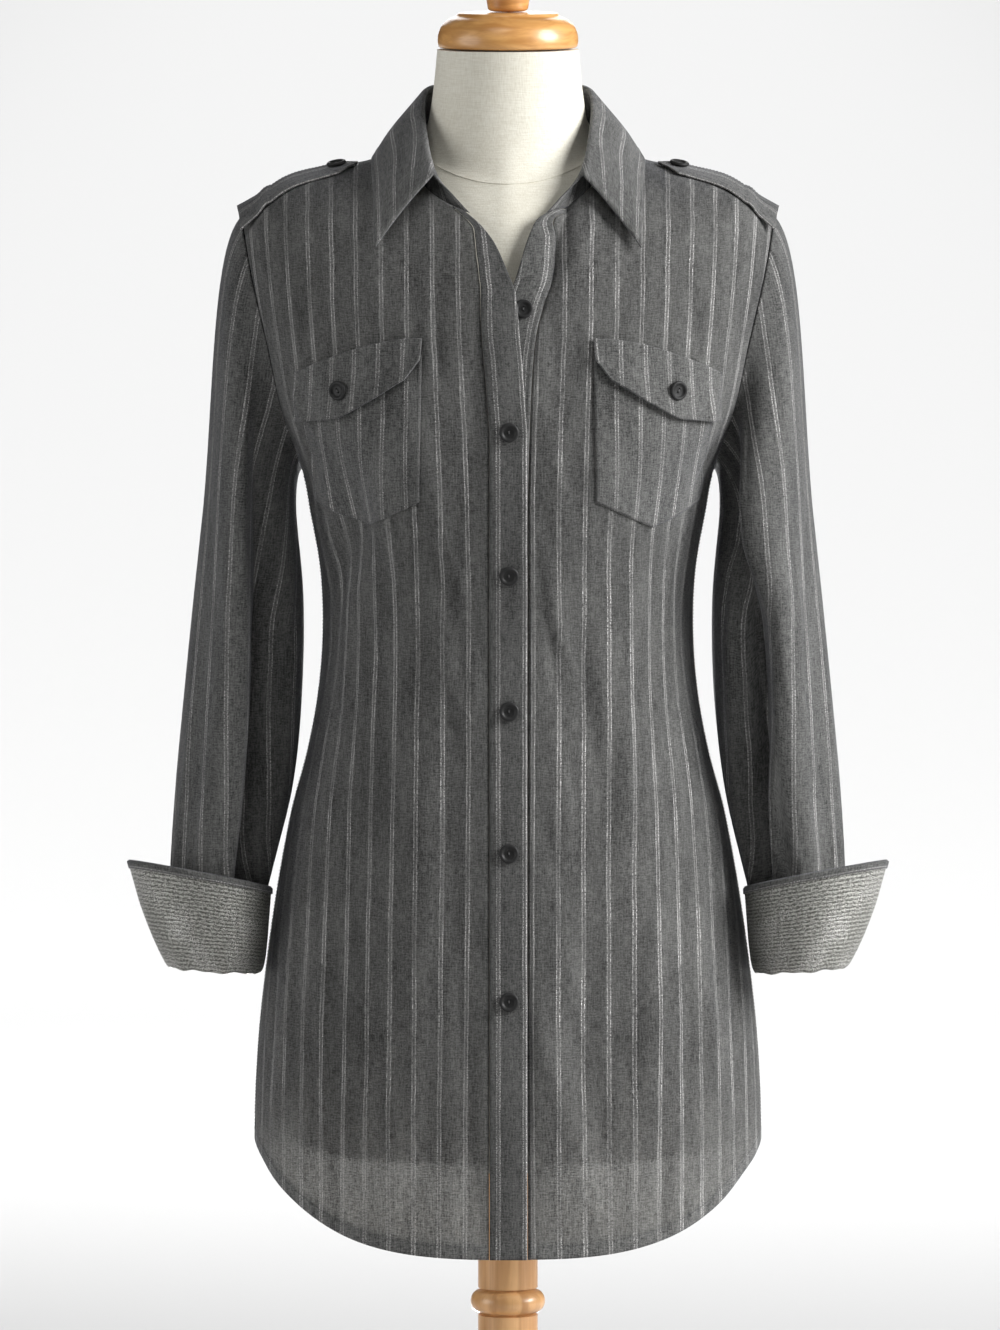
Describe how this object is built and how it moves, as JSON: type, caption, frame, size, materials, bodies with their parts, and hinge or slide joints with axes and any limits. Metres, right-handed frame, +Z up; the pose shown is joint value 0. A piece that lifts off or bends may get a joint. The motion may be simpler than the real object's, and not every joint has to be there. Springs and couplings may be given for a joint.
{
  "type": "shirt jacket on dress form",
  "caption": "Long striped button-front shirt jacket with flaring turned-back cuffs, worn by a limbless dress form on a round wooden stand.",
  "frame": {"origin": "middle of the stand's foot, on the floor", "axes": "+Z up, -Y the front of the shirt, +X the wearer's left"},
  "size_m": [0.5746, 0.33, 1.36],
  "materials": {
    "shirting": "charcoal plain weave with thin silver stripes",
    "cuff_lame": "silver-grey metallic weave",
    "button": "dark, softly polished",
    "form_linen": "plain cream linen",
    "wood": "honey satin varnish"
  },
  "bodies": {
    "root": {"front_right": "shirting", "front_left": "shirting", "placket": "shirting", "button_band": "shirting", "back": "shirting", "sleeve_right": "shirting", "sleeve_left": "shirting", "cuff_right": "cuff_lame", "cuff_left": "cuff_lame", "collar_stand": "shirting", "collar_leaf": "shirting", "pocket_right": "shirting", "pocket_left": "shirting", "pocket_flap_right": "shirting", "pocket_flap_left": "shirting", "shoulder_strap_right": "shirting", "shoulder_strap_left": "shirting", "button_1": "button", "button_2": "button", "button_3": "button", "button_4": "button", "button_5": "button", "button_6": "button", "pocket_button_right": "button", "pocket_button_left": "button", "strap_button_right": "button", "strap_button_left": "button", "form_body": "form_linen", "neck_cap": "wood", "neck_knob": "wood", "stand_pole": "wood", "stand_base": "wood"}
  },
  "joints": []
}
